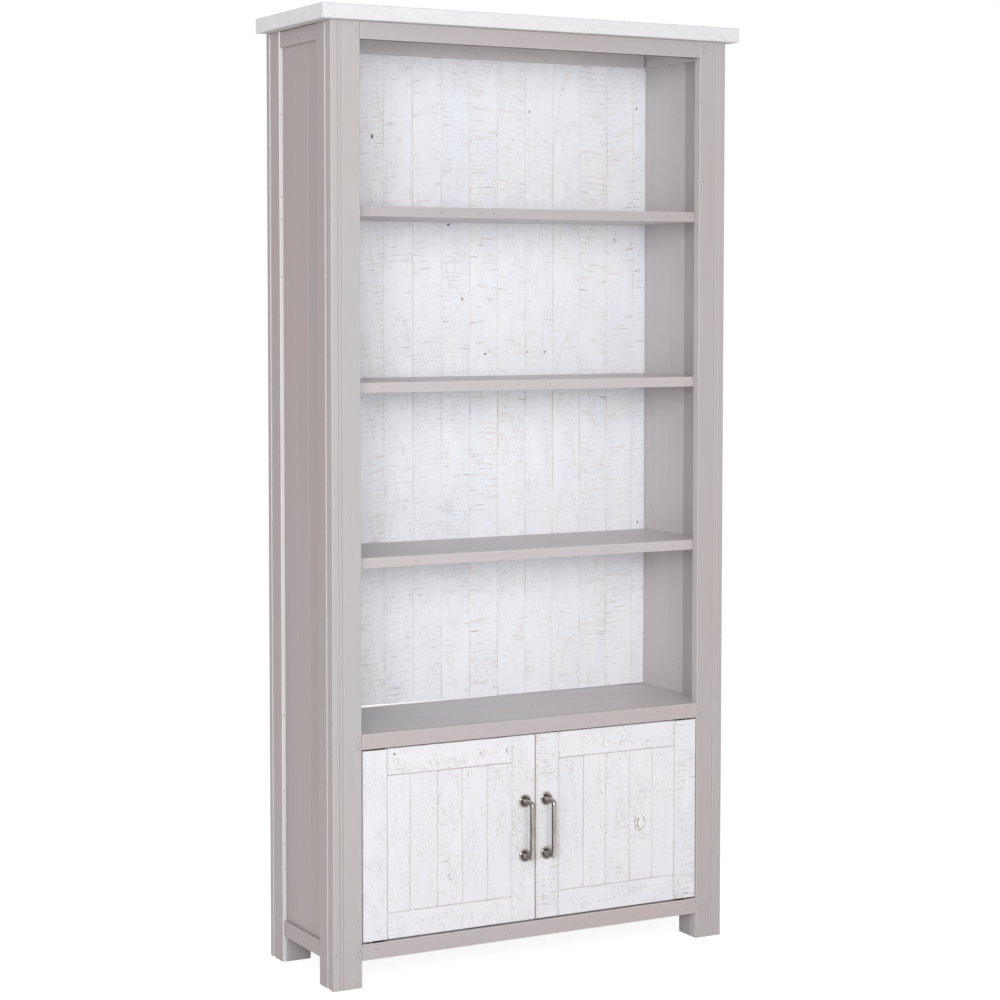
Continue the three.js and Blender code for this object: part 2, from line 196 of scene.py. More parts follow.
class Flow:
    """A value that flows between the nodes of a finish. Arithmetic on it adds Math nodes."""

    def __init__(self, finish, socket):
        self.finish = finish
        self.socket = socket

    def maths(self, operation, *terms):
        return self.finish.node("ShaderNodeMath", {"operation": operation}, dict(enumerate(terms)))

    def __add__(self, other):
        return self.maths("ADD", self, other)

    def __radd__(self, other):
        return self.maths("ADD", other, self)

    def __sub__(self, other):
        return self.maths("SUBTRACT", self, other)

    def __rsub__(self, other):
        return self.maths("SUBTRACT", other, self)

    def __mul__(self, other):
        return self.maths("MULTIPLY", self, other)

    def __rmul__(self, other):
        return self.maths("MULTIPLY", other, self)

    def __truediv__(self, other):
        return self.maths("DIVIDE", self, other)

    def __rtruediv__(self, other):
        return self.maths("DIVIDE", other, self)

    def __pow__(self, other):
        return self.maths("POWER", self, other)

    def fract(self):
        return self.maths("FRACT", self)

    def root(self):
        return self.maths("SQRT", self)

    def most(self, other):
        return self.maths("MAXIMUM", self, other)

    def climb(self, low, high):
        """0 below low and 1 above high, smooth between them, or a fall where low is the larger."""
        return self.finish.node("ShaderNodeMapRange", {"interpolation_type": "SMOOTHSTEP"},
                                {"Value": self, "From Min": low, "From Max": high})


class Finish:
    """A finish being made up from nodes. Its owner is a material or the world, and its shader theirs."""

    def __init__(self, owner):
        self.owner = owner
        self.owner.use_nodes = True
        self.tree = owner.node_tree
        self.shader = self.tree.nodes.get("Principled BSDF") or self.tree.nodes["Background"]

    def node(self, kind, settings=None, inputs=None, output=0):
        """A node of that type. Its settings are set first, then its sockets get their values or links."""
        made = self.tree.nodes.new(kind)
        for setting, value in (settings or {}).items():
            setattr(made, setting, value)
        for socket, value in (inputs or {}).items():
            self.feed(made.inputs[socket], value)
        return Flow(self, made.outputs[output])

    def feed(self, socket, value):
        """Links the flow to the socket, or sets the plain value on it."""
        if isinstance(value, Flow):
            self.tree.links.new(value.socket, socket)
        else:
            socket.default_value = value

    def mark(self, name, output="Fac"):
        """A mark that the mesh carries on its points."""
        return self.node("ShaderNodeAttribute", {"attribute_name": name}, output=output)

    def place(self):
        """The place in the piece, from its Object coordinates."""
        return self.node("ShaderNodeTexCoord", output="Object")

    def parts(self, vector):
        """The three parts of a vector, each as a value."""
        split = self.node("ShaderNodeSeparateXYZ", inputs={"Vector": vector})
        outputs = split.socket.node.outputs
        return [Flow(self, outputs[axis]) for axis in range(3)]

    def vector(self, operation, a, b):
        return self.node("ShaderNodeVectorMath", {"operation": operation}, {0: a, 1: b})

    def together(self, x, y, z):
        return self.node("ShaderNodeCombineXYZ", inputs={0: x, 1: y, 2: z})

    def own_place(self, grain, board):
        """The place in the grain, moved on by the board's own number, so that no two boards are alike."""
        return self.vector("ADD", grain, self.together(board * 17.3, board * 5.1, board * 3.7))

    def noise(self, vector, per_metre, detail=2.0, roughness=0.5):
        """Noise with that many cells in a metre along, across and through the wood."""
        stretched = self.vector("MULTIPLY", vector, per_metre)
        return self.node("ShaderNodeTexNoise", {}, {"Vector": stretched, "Scale": 1.0, "Detail": detail,
                                                   "Roughness": roughness})

    def tint(self, factor, below, above):
        """The colour below where the factor is 0, and above where it is 1."""
        return self.node("ShaderNodeMix", {"data_type": "RGBA"}, {0: factor, 6: below, 7: above}, output=2)

    def finish(self, **sockets):
        """Gives the shader's sockets their values or links, and returns the material."""
        for name, value in sockets.items():
            self.feed(self.shader.inputs[name.replace("_", " ")], value)
        return self.owner

    def bump(self, height, depth, strength=1.0):
        return self.node("ShaderNodeBump", {}, {"Height": height, "Distance": depth, "Strength": strength})


paint_gloss = 0.3


def painted(name, tone, rub=0.6):
    """Satin paint laid on by brush along the wood, with faint grain under it, its colours times a tone.

    The mark 'edge' is 1 on an arris, where the paint is lighter: partly rubbed by wear and partly a painted
    highlight of the arris catching the light. It is -1 at the bottom of a quirk, which is painted darker as
    painted shade. Noise with few cells is clouds of darker and lighter tone, with many across the wood it is
    brush streaks and pores. The tone makes the lit and shaded copies of the paint that follow.
    """
    paint = Finish(bpy.data.materials.new(name))
    grain = paint.mark("grain", "Vector")
    board = paint.mark("board")
    edge = paint.mark("edge")
    shifted = paint.own_place(grain, board)
    cloud = paint.noise(shifted, (2.2, 7.0, 7.0), 3.0)
    streak = paint.noise(shifted, (5.0, 330.0, 330.0), 4.0, 0.6)
    pores = paint.noise(shifted, (110.0, 1500.0, 1500.0), 2.0)
    fleck = paint.noise(shifted, (260.0, 300.0, 300.0), 2.0)
    colour = paint.tint(cloud.climb(0.35, 0.68), srgb(193, 184, 183), srgb(190, 184, 185))
    shade = (streak - 0.5) * 0.3 + (cloud - 0.5) * 0.5 + (board - 0.5) * 0.35
    darker = paint.vector("MULTIPLY", colour, (0.94, 0.94, 0.94))
    lighter = paint.vector("MULTIPLY", colour, (1.06, 1.06, 1.06))
    colour = paint.tint(shade + 0.5, darker, lighter)
    # Arrises lighter: partly rubbed paint, partly a painted highlight.
    wear_and_highlight = edge.climb(0.75, 1.0) * (0.35 + streak * 0.5)
    colour = paint.tint(wear_and_highlight * rub, colour, srgb(214, 209, 208))
    # Quirk bottoms darker: painted shade.
    quirk_shade = edge.climb(-0.45, -1.0)
    colour = paint.tint(quirk_shade * 0.3, colour, srgb(160, 154, 153))
    pin_pore = fleck.climb(0.72, 0.78) * pores.climb(0.5, 0.6)
    colour = paint.tint(pin_pore * 0.4, colour, srgb(138, 127, 124))
    height = streak * 0.45 + pores * 0.2 + fleck * 0.2 - pin_pore * 0.5
    return paint.finish(
        Base_Color=paint.vector("MULTIPLY", colour, tone),
        Roughness=0.36 + streak * 0.14 + fleck * 0.06,
        Normal=paint.bump(height, 0.00014),
        Specular_IOR_Level=paint_gloss,
    )


taupe_paint = painted("taupe_paint", (0.745, 0.745, 0.748))
# The left stile's copy of the paint is lighter: painted light, where more light falls on that stile.
lit_left_paint = painted("lit_left_paint", (0.765, 0.79, 0.79))
# The sides' copy of the paint is pinker and a little darker: the painted tint and shade of the light on the
# sides.
side_tinted_paint = painted("side_tinted_paint", (0.767, 0.722, 0.72))
hidden_rub = 0.15
# The stiles' inner and rear faces take a lighter copy of the paint: painted light inside the case.
stile_inside_lit_paint = painted("stile_inside_lit_paint", (0.92, 0.94, 0.94), hidden_rub)
facing_least = 0.7


def coat_faces(piece, material, *directions, before=math.inf):
    """A second finish on the faces that look along one of the directions, up to a limit in Y.

    A face looks along a direction where its normal's share in it is more than the least for facing.
    """
    piece.data.materials.append(material)
    slopes = np.zeros(len(piece.data.polygons) * 3)
    middles = np.zeros(len(piece.data.polygons) * 3)
    chosen = np.zeros(len(piece.data.polygons), np.int32)
    piece.data.polygons.foreach_get("normal", slopes)
    piece.data.polygons.foreach_get("center", middles)
    piece.data.polygons.foreach_get("material_index", chosen)
    turned = (slopes.reshape(-1, 3) @ np.array(directions).T).max(axis=1) > facing_least
    turned &= middles[1::3] < before
    chosen[turned] = len(piece.data.materials) - 1
    piece.data.polygons.foreach_set("material_index", chosen)


def stile_outline(side, face):
    """A front stile's outline seen from above: a thin rectangle with V-shaped quirks, its corners eased.

    Each corner is (from the outer side, from the face, radius, wear), where wear 1 is a rubbed arris with a
    painted highlight and -1 a quirk's bottom painted darker as painted shade.
    """
    half = quirk_width / 2
    corners = [(0, 0, stile_arris, 1)]
    for place in quirk_places:
        corners += [(place - half, 0, quirk_arris, 0), (place, quirk_depth, quirk_arris, -1),
                    (place + half, 0, quirk_arris, 0)]
    corners += [(stile_width, 0, stile_arris, 1), (stile_width, stile_thickness, stile_arris, 1),
                (0, stile_thickness, stile_arris, 1)]
    corners += [(0, side_quirk_place + half, quirk_arris, 0),
                (quirk_depth, side_quirk_place, quirk_arris, -1),
                (0, side_quirk_place - half, quirk_arris, 0)]
    shape = np.array(corners)
    outline, marks = rounded_outline(shape[:, :2], shape[:, 2], shape[:, 3])
    return np.stack([side * (stile_width - outline[:, 0]), outline[:, 1]], axis=1) + face, marks


hands = (("left", -1), ("right", 1))
for hand, side in hands:
    node = f"front_{hand}_stile"
    low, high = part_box(node)
    inner_edge = high.x if side < 0 else low.x
    outline, marks = stile_outline(side, np.array([inner_edge, low.y]))
    # The left stile takes the lighter copy of the paint, as painted light.
    stile = assemble(f"painted_{node}", [moulding(outline, marks, low.z, high.z)],
                     lit_left_paint if hand == "left" else taupe_paint, "carcass", [node])
    # The inner and rear faces take the lighter copy as painted light, and the outer face the pinker side
    # copy as the painted tint of the light.
    coat_faces(stile, stile_inside_lit_paint, (-side, 0, 0), (0, 1, 0))
    coat_faces(stile, side_tinted_paint, (side, 0, 0))

# Everything else of the case that stands upright is a plain board: the rear stiles, the strips on the sides
# with a shadow groove between strip and stile, and the foot blocks that carry the sides on the floor.
board_arris = 0.0012
row_spacing = 0.06
end_arris_share = 0.6
swell_share = 0.25
swell_beats = (8, 60)
swell_phases = (0, 6.28)
radius_least = 0.00002
rub_share_most = 0.3


def plank(low, high, along, arris=board_arris, saw=(0.0, 0.0, 0.0), shift=(0.0, 0.0, 0.0), bare=0.0):
    """A board between two corners, its section a rectangle with round corners carried along one axis.

    A point of the section is the core's corner or a share along its side, plus the arris radius less the
    inset along the corner's normal. The radius swells and shrinks a little along the board, as sanding
    leaves it, by a sum of three sines. Saw is the strength, tilt and warmth of the saw's marks, and bare is
    the edge mark of the two narrow sides.
    """
    low, high = np.array(low) + shift, np.array(high) + shift
    size = high - low
    across, through = sorted((axis for axis in range(3) if axis != along), key=lambda axis: -size[axis])
    half = np.array([size[across], size[through]]) / 2
    corner_signs = np.array([(1, 1), (-1, 1), (-1, -1), (1, -1)], float)
    core, normal, marks = [], [], []
    for turn, sign in enumerate(corner_signs):
        next_sign = corner_signs[(turn + 1) % 4]
        angle = (turn + np.linspace(0, 1, arc_steps + 1)) * math.pi / 2
        core.append(np.tile(sign, (arc_steps + 1, 1)))
        normal.append(np.stack([np.cos(angle), np.sin(angle)], axis=1))
        side_long = 2 * (half[0] if turn % 2 == 0 else half[1])
        rub_share = min(rub_reach / side_long, rub_share_most)
        shares = np.array([rub_share, 0.5, 1 - rub_share])[:, None]
        core.append(sign + (next_sign - sign) * shares)
        normal.append(np.tile(normal[-1][-1], (3, 1)))
        marks += [1.0] * (arc_steps + 1) + [0.0 if turn % 2 == 0 else bare] * 3
    core, normal, marks = np.concatenate(core), np.concatenate(normal), np.array(marks)
    places, insets, row_marks = end_rows(size[along], end_arris_share * arris, row_spacing)
    beats = chance.uniform(*swell_beats, 3)
    phases = chance.uniform(*swell_phases, 3)
    swell = np.sin(places[:, None] * beats + phases).sum(axis=1) / 3
    radius = (arris * (1 + swell_share * swell))[:, None, None]
    round_off = (radius - insets[:, None, None]).clip(min=radius_least)
    section = core[None] * (half - radius) + normal[None] * round_off
    rings = np.zeros((len(places), len(core), 3))
    rings[..., along] = low[along] + places[:, None]
    rings[..., across] = (low[across] + high[across]) / 2 + section[..., 0]
    rings[..., through] = (low[through] + high[through]) / 2 + section[..., 1]
    grain = np.concatenate([rings[..., [along]] - low[along], section], axis=-1)
    edge = np.maximum(marks[None, :], row_marks[:, None])
    edge[[0, -1]] = 0.0
    made = skin(rings, edge, grain, chance.random())
    made["saw"] = np.tile(np.array(saw, float), (len(made["points"]), 1))
    return made


def painted_board(node, along, paint=taupe_paint, taller=0.0):
    """A painted board of the case in the place of its node, if need be a hair taller by its paint."""
    low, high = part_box(node)
    high.z += taller
    return assemble(f"painted_{node}", [plank(low, high, along)], paint, "carcass", [node])


# A much paler copy of the paint for the front-facing ends of the rear stiles and side strips and for the
# top's underside: painted light on these narrow steps and on the underside.
lit_pale_paint = painted("lit_pale_paint", (1.18, 1.27, 1.27))
for hand, side in hands:
    for upright in (f"front_{hand}_foot", f"rear_{hand}_foot"):
        painted_board(upright, along=2)
    for upright in (f"rear_{hand}_stile", f"front_{hand}_side_strip", f"rear_{hand}_side_strip"):
        coat_faces(painted_board(upright, along=2, paint=side_tinted_paint), lit_pale_paint, (0, -1, 0))

# Each side is five upright boards edge to edge with eased arrises, painted together, with a rail along the
# top and the bottom of its outer face and a cleat inside at the top, screwed up into the top boards. Inside,
# the paint is a lighter, cooler copy, as painted light. The boards next to the front stile are painted
# darker, on the outer face and in the corner inside, as painted shade.
side_board_width = 0.058
side_board_arris = 0.0009
side_joint_steps = np.array([-1.5, -0.5, 0.5, 1.5])
board_unevenness = 0.0002
top_rail_extra = 0.0016
# The inside faces take a lighter, cooler copy of the paint: painted light that the white back boards throw
# into the case.
inner_lit_paint = painted("inner_lit_paint", (1.05, 1.085, 1.085), hidden_rub)
# The outer face of the board next to the front stile takes a darker copy: painted shade in the corner by the
# strip.
outer_shade_paint = painted("outer_shade_paint", (0.695, 0.645, 0.64))
# The inner faces of the two boards behind the front stile take a darker copy: painted shadow of the stile.
pocket_shadow_paint = painted("pocket_shadow_paint", (0.755, 0.765, 0.77), hidden_rub)
for hand, side in hands:
    node = f"{hand}_side_panel"
    low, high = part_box(node)
    middle = (low.y + high.y) / 2
    cuts = [low.y, *(middle + side_joint_steps * side_board_width), high.y]
    boards = []
    for near, far in zip(cuts[:-1], cuts[1:]):
        uneven = (chance.uniform(-1, 1) * board_unevenness, 0, 0)
        boards.append(plank((low.x, near, low.z), (high.x, far, high.z), 2, side_board_arris, shift=uneven))
    panel = assemble(f"painted_{node}", boards, side_tinted_paint, "carcass", [node])
    coat_faces(panel, inner_lit_paint, (-side, 0, 0))
    # Painted shadow of the stile on the boards behind it, inside.
    coat_faces(panel, pocket_shadow_paint, (-side, 0, 0), before=cuts[2])
    # Painted shade on the outer face of the front board.
    coat_faces(panel, outer_shade_paint, (side, 0, 0), before=cuts[1])
    painted_board(f"{hand}_side_top_rail", along=1, paint=side_tinted_paint, taller=top_rail_extra)
    painted_board(f"{hand}_side_bottom_rail", along=1, paint=side_tinted_paint)
    painted_board(f"{hand}_top_cleat", along=1, paint=inner_lit_paint)

# The front rails run between the stiles at the top, over the doors and under them, tenoned and glued.
# A rear rail under the top boards takes the heads of the back boards.
shoulder_gap = 0.0006
low_rail_paint = painted("low_rail_paint", (0.812, 0.787, 0.792))
shade_paint = painted("shade_paint", (0.30, 0.27, 0.25), hidden_rub)
for rail in ("front_top_rail", "front_middle_rail", "front_bottom_rail", "rear_top_rail"):
    low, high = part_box(rail)
    if rail.startswith("front"):
        shoulder = stile_width + shoulder_gap
        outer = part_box("front_right_stile")[1].x
        low.x, high.x = shoulder - outer, outer - shoulder
    rail_paint = taupe_paint if rail.endswith("top_rail") else low_rail_paint
    piece = assemble(f"painted_{rail}", [plank(low, high, 0)], rail_paint, "carcass", [rail])
    inside = (0, 1, 0) if rail.startswith("front") else (0, -1, 0)
    # Faces inside the case take the lighter inner copy as painted light, and the top rail's underside the
    # dark shade copy as painted shade.
    coat_faces(piece, inner_lit_paint, inside, (0, 0, 1))
    coat_faces(piece, shade_paint if rail == "front_top_rail" else inner_lit_paint, (0, 0, -1))

# Three fixed shelves, the cupboard's top of two boards and its floor are housed between the sides and
# bradded through the stiles and the back. Their tops take a paler copy of the paint than their undersides,
# which take the lighter inside copy: both are painted light, the tops' also painted sheen.
shelf_paint = painted("shelf_paint", (0.875, 0.87, 0.87))
# The tops take a paler copy of the paint: painted light and sheen from above.
lit_deck_paint = painted("lit_deck_paint", (1.13, 1.18, 1.185), hidden_rub)
for shelf in ("upper_shelf", "middle_shelf", "lower_shelf", "cupboard_top_front_board",
              "cupboard_top_rear_board", "cupboard_floor"):
    front_paint = shelf_paint if shelf in ("middle_shelf", "lower_shelf") else taupe_paint
    board = painted_board(shelf, along=0, paint=front_paint)
    coat_faces(board, inner_lit_paint, (0, 0, -1))
    coat_faces(board, lit_deck_paint, (0, 0, 1))

# The back is rough-sawn pine boards, fixed upright above the cupboard's top and again below it. They are
# brushed with whitewash that stands in the saw marks and rubs thin over the grain, so each board differs.
# The upper ones stand a little clear of the cupboard's top at the left, and less and less to the right.
back_board_width = 0.067
back_board_arris = 0.0007
back_joint_steps = np.arange(-6, 7)
back_foot_places, back_foot_rises = (-0.42, 0.14), (0.0020, -0.0032)
back_saw_strengths, back_saw_tilt, back_warmths = (0.4, 0.7, 0.9, 1.0), 0.12, (0.0, 0.2, 0.8)
rings_per_metre = 190.0
wash_gloss = 0.25


def limed(name, tone, rough=0.45, knots=()):
    """Whitewash over rough-sawn pine, its colours times a tone, the more flecked the rougher it is.

    Growth rings are circles about a pith that leans and wanders along the board, so flat-sawn faces show
    arches. Saw strokes are noise drawn out across the board, tilted and bowed as the blade left them, with
    rows of short dashes at the pitch of its teeth. The mark 'saw' holds their strength, tilt and warmth.
    The mark 'edge' is 1 where wood is rubbed bare. Knots are (x, z, radius, strength) in the plane of the
    doors, each a thin broken rim round a darker crescent.
    """

    def wood(cool, warm):
        """Wood that shows through: grey on a cool board, brown on a warm one."""
        return wash.tint(warmth, srgb(*cool), srgb(*warm))

    wash = Finish(bpy.data.materials.new(name))
    grain = wash.mark("grain", "Vector")
    board = wash.mark("board")
    edge = wash.mark("edge")
    saw_strength, saw_tilt, warmth = wash.parts(wash.mark("saw", "Vector"))
    along, across, through = wash.parts(grain)
    shifted = wash.own_place(grain, board)
    area = wash.noise(shifted, (4.0, 14.0, 14.0), 2.0)
    patch = wash.noise(shifted, (14.0, 30.0, 30.0), 2.0)
    fuzz = wash.noise(shifted, (60.0, 110.0, 110.0), 3.0)
    fleck = wash.noise(shifted, (130.0, 430.0, 430.0), 2.0, 0.65)
    pore = wash.noise(shifted, (380.0, 900.0, 900.0), 1.0)
    strand = wash.noise(shifted, (7.0, 160.0, 160.0), 2.0)

    wander = wash.noise(shifted, (1.6, 0.5, 0.5), 1.0)
    pith_depth = 0.035 + (board * 5.3).fract() * 0.07
    lean = ((board * 9.7).fract() - 0.5) * 0.12
    deep = through + pith_depth + along * lean
    sideways = across - ((board * 3.1).fract() - 0.5) * 0.05 - (wander - 0.5) * 0.10
    ring = ((sideways * sideways + deep * deep).root() * rings_per_metre + fuzz * 0.5).fract()
    arched = (board * 13.7).fract().climb(0.35, 0.65)
    ring_line = ring.climb(0.74, 0.88) * ring.climb(1.0, 0.93) * fleck.climb(0.4, 0.55)
    ring_show = ring_line * (0.2 + arched * 0.8) * patch.climb(0.36, 0.6)

    bow = ((board * 6.1).fract() - 0.5) * 3.0
    athwart = across + through
    bowed = along + athwart * saw_tilt + athwart * athwart * bow
    sawn_place = wash.together(bowed, athwart, board * 11.0)
    stroke = wash.noise(sawn_place, (260.0, 20.0, 1.0), 2.0, 0.6)
    scratch = wash.noise(sawn_place, (300.0, 22.0, 1.0), 1.0)
    dash = wash.noise(sawn_place, (150.0, 190.0, 1.0), 2.0)
    band = wash.noise(shifted, (5.0, 3.0, 3.0), 2.0)
    stroke_show = stroke.climb(0.55, 0.66) * patch.climb(0.34, 0.56) * saw_strength
    gouge_show = scratch.climb(0.71, 0.77) * saw_strength
    pitch = (board * 4.3).fract() * 90.0 + saw_tilt * saw_tilt * 60.0 + 75.0
    tooth = (bowed * pitch + fuzz * 0.6).fract() / pitch
    row_show = tooth.climb(0.0, 0.0005) * tooth.climb(0.0019, 0.0012) * dash.climb(0.46, 0.6)
    row_show = row_show * band.climb(0.46, 0.56) * saw_strength

    cloudy = area.climb(0.38, 0.64) * (1 - (board * 2.7).fract() * 0.5)
    colour = wash.tint(cloudy, srgb(233, 234, 238), srgb(228, 231, 238))
    colour = wash.tint(strand.climb(0.5, 0.75) * 0.25, colour, srgb(219, 219, 223))
    colour = wash.tint(ring_show * 0.4, colour, srgb(206, 201, 200))
    fleck_show = fleck.climb(0.56, 0.66) * patch.climb(0.36, 0.6)
    colour = wash.tint(fleck_show * rough, colour, wood((201, 200, 204), (206, 198, 190)))
    colour = wash.tint(stroke_show * 0.55, colour, wood((207, 206, 210), (206, 195, 184)))
    colour = wash.tint(row_show * 0.75, colour, wood((190, 187, 188), (197, 182, 169)))
    colour = wash.tint(gouge_show * 0.8, colour, wood((156, 151, 152), (164, 144, 128)))
    stain = wash.noise(shifted, (9.0, 4.0, 4.0), 2.0)
    bare_least = rough * 0.45
    joint = edge ** 6.0 * (bare_least + stain.climb(0.5, 0.66) * (1 - bare_least))
    colour = wash.tint(joint * (0.45 + rough * 0.45), colour, wood((192, 188, 188), (186, 166, 149)))

    place = wash.place()
    for x, z, radius, strength in knots:
        dx, _, dz = wash.parts(wash.vector("SUBTRACT", place, (x, 0.0, z)))
        apart = (dx * dx + dz * dz * 0.7).root() / radius + (fuzz - 0.5) * 1.3 + (patch - 0.5) * 0.6
        rim = apart.climb(0.74, 0.86) * apart.climb(1.06, 0.94) * fuzz.climb(0.42, 0.56)
        crescent = apart.climb(0.2, 0.3) * apart.climb(0.6, 0.45) * (dx / radius).climb(0.05, -0.2)
        colour = wash.tint(apart.climb(0.85, 0.6) * 0.5, colour, srgb(240, 240, 243))
        rim_wood = wash.tint(fuzz.climb(0.45, 0.6), srgb(178, 172, 170), srgb(180, 157, 138))
        colour = wash.tint(rim * strength, colour, rim_wood)
        colour = wash.tint(crescent * (strength * 2.0 - 0.8), colour, srgb(124, 113, 106))

    height = fleck * (0.3 + rough * 0.8) + dash * rough * 0.5 + pore * 0.12 + strand * 0.2
    height = height - ring_show * 0.3 - stroke_show * 0.4 - gouge_show * 0.6 - row_show * 0.7
    return wash.finish(
        Base_Color=wash.vector("MULTIPLY", colour, tone),
        Roughness=0.62 + fleck * 0.16,
        Normal=wash.bump(height, 0.0004, 0.8),
        Specular_IOR_Level=wash_gloss,
    )


limed_pine = limed("limed_pine", (1.0, 1.0, 1.0))
for node in ("upper_back_boards", "lower_back_boards"):
    low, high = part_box(node)
    cuts = [low.x, *(back_joint_steps * back_board_width), high.x]
    boards = []
    for near, far in zip(cuts[:-1], cuts[1:]):
        uneven = (0, chance.uniform(-1, 1) * board_unevenness, 0)
        saw = (chance.choice(back_saw_strengths), chance.uniform(-back_saw_tilt, back_saw_tilt),
               chance.choice(back_warmths))
        foot = low.z
        if node == "upper_back_boards":
            foot += np.interp((near + far) / 2, back_foot_places, back_foot_rises)
        boards.append(plank((near, low.y, foot), (far, high.y, high.z), 2, back_board_arris, saw=saw,
                            shift=uneven, bare=1.0))
    assemble(f"limed_{node}", boards, limed_pine, "carcass", [node], marks=["saw"])

# The top is four pine boards glued edge to edge, a narrow one at front and back and two wide ones between.
# They overhang the case at the front and both ends. Only their underside has the case's paint, in its pale
# copy, as painted light.
top_arris = 0.0018
top_saw_strength, top_saw_tilts = 0.4, (1.0, 1.4)
top_pine = limed("limed_pine_top", (0.792, 0.779, 0.747))
# The ends take a rougher and lighter copy of the wash: the rough end grain, and painted light on the end
# faces.
lit_end_pine = limed("limed_pine_ends", (0.905, 0.882, 0.855), rough=1.0)
for node in ("top_front_board", "top_middle_front_board", "top_middle_rear_board", "top_rear_board"):
    low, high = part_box(node)
    board = plank(low, high, 0, top_arris, saw=(top_saw_strength, chance.uniform(*top_saw_tilts), 0.0))
    top = assemble(f"limed_{node}", [board], top_pine, "carcass", [node], marks=["saw"])
    # The ends take their lighter copy, as painted light.
    coat_faces(top, lit_end_pine, (-1, 0, 0), (1, 0, 0))
    # The underside takes the pale copy of the paint, as painted light.
    coat_faces(top, lit_pale_paint, (0, 0, -1))

# Each door is a frame of two stiles and two rails round five boards that lie flush with it, in the same
# whitewashed pine, rubbed back harder so that brown wood shows along the joints. The wash builds up on the
# outer edges of the frame, and the stiles' ends lie a hair below the hinge plates let into them.
door_joint_shares = {"left": (0.178, 0.396, 0.594, 0.799), "right": (0.212, 0.402, 0.607, 0.807)}
door_saw = {
    "left_door_hinge_stile": (0.85, 1.3, 0.1), "left_door_meeting_stile": (0.9, 1.1, 0.4),
    "right_door_meeting_stile": (1.1, 0.02, 0.9), "right_door_hinge_stile": (1.3, -0.05, 0.5),
    "left_door_top_rail": (0.6, 0.4, 0.4), "left_door_bottom_rail": (0.6, 0.1, 0.3),
    "right_door_top_rail": (0.5, 0.3, 0.6), "right_door_bottom_rail": (0.5, 0.1, 0.3),
}
door_knots = {
    "left": [(-0.292, 0.430, 0.005, 0.8), (-0.308, 0.437, 0.003, 0.9), (-0.122, 0.439, 0.007, 0.8),
             (-0.063, 0.439, 0.006, 0.9), (-0.193, 0.199, 0.008, 0.7)],
    "right": [(0.164, 0.436, 0.009, 0.55), (0.205, 0.429, 0.007, 0.7), (0.268, 0.423, 0.008, 0.6),
              (0.205, 0.453, 0.009, 0.5), (0.248, 0.260, 0.015, 0.9)],
}
door_edge_bareness = {"hinge_stile": 0.3, "meeting_stile": 0.88, "top_rail": 0.85, "bottom_rail": 0.94}
door_tone = (0.84, 0.824, 0.818)
door_roughness = 0.85
door_frame_arris = 0.0008
door_board_arris = 0.0006
door_saw_strengths, door_saw_tilt, door_warmths = (0.15, 0.3, 0.5), 0.2, (0.4, 0.7, 0.9)
side_edge_build_up = 0.0006
top_edge_build_up = 0.0010
plate_proud = 0.0001
door_pine = {}
for hand, side in hands:
    body = f"{hand}_door"
    door_pine[hand] = limed(f"limed_pine_{hand}_door", door_tone, door_roughness, door_knots[hand])
    panel_low, panel_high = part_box(f"{hand}_door_panel")
    for part, along in (("hinge_stile", 2), ("meeting_stile", 2), ("top_rail", 0), ("bottom_rail", 0)):
        node = f"{hand}_door_{part}"
        low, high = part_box(node)
        if along == 0:
            low.x, high.x = panel_low.x, panel_high.x
        if part == "meeting_stile":
            low.x -= side_edge_build_up
            high.x += side_edge_build_up
        if part == "hinge_stile":
            low.x -= side_edge_build_up * (side < 0)
            high.x += side_edge_build_up * (side > 0)
            low.z += plate_proud
            high.z -= plate_proud
        elif part != "bottom_rail":
            high.z += top_edge_build_up
        board = plank(low, high, along, door_frame_arris, door_saw[node], bare=door_edge_bareness[part])
        assemble(f"limed_{node}", [board], door_pine[hand], body, [node], marks=["saw"])
    joints = panel_low.x + (panel_high.x - panel_low.x) * np.array(door_joint_shares[hand])
    cuts = [panel_low.x, *joints, panel_high.x]
    boards = []
    for near, far in zip(cuts[:-1], cuts[1:]):
        saw = (chance.choice(door_saw_strengths), chance.uniform(-door_saw_tilt, door_saw_tilt),
               chance.choice(door_warmths))
        uneven = (0, chance.uniform(-1, 1) * board_unevenness, 0)
        boards.append(plank((near, panel_low.y, panel_low.z), (far, panel_high.y, panel_high.z), 2,
                            door_board_arris, saw, uneven, bare=1.0))
    assemble(f"limed_{hand}_door_panel", boards, door_pine[hand], body,
             [f"{hand}_door_panel"], marks=["saw"])

# The handles are round bars bent tight at both ends, each end spread into a trumpet foot with a thick rim.
# They are nickel-plated and brushed to a dull pewter, and screwed on from inside the doors. The dish of each
# foot and the bar's two sides are painted darker, as painted shade and dark reflection.
bar_radius = 0.005
bend_radius = 0.0068
handle_centres = 0.111
foot_radius = 0.01325
foot_back_arris = 0.0006
foot_rim_height = 0.0036
foot_rim_arris = 0.0017
dish_depth = 0.0009
dish_width = 0.0021
flare_height = 0.0165
# How dark the painted shade is at the dish's edge and in the dish, how fast it fades up the trumpet, and how
# dark it is on the bar's sides.
dish_edge_shade = 0.7
dish_shade = 1.1
dish_shade_fall = 6.0
bar_side_shade = 1.6
handle_around = 40
bend_rows = 13
rim_rows = 9
flare_rows = 14
bar_rows = 10


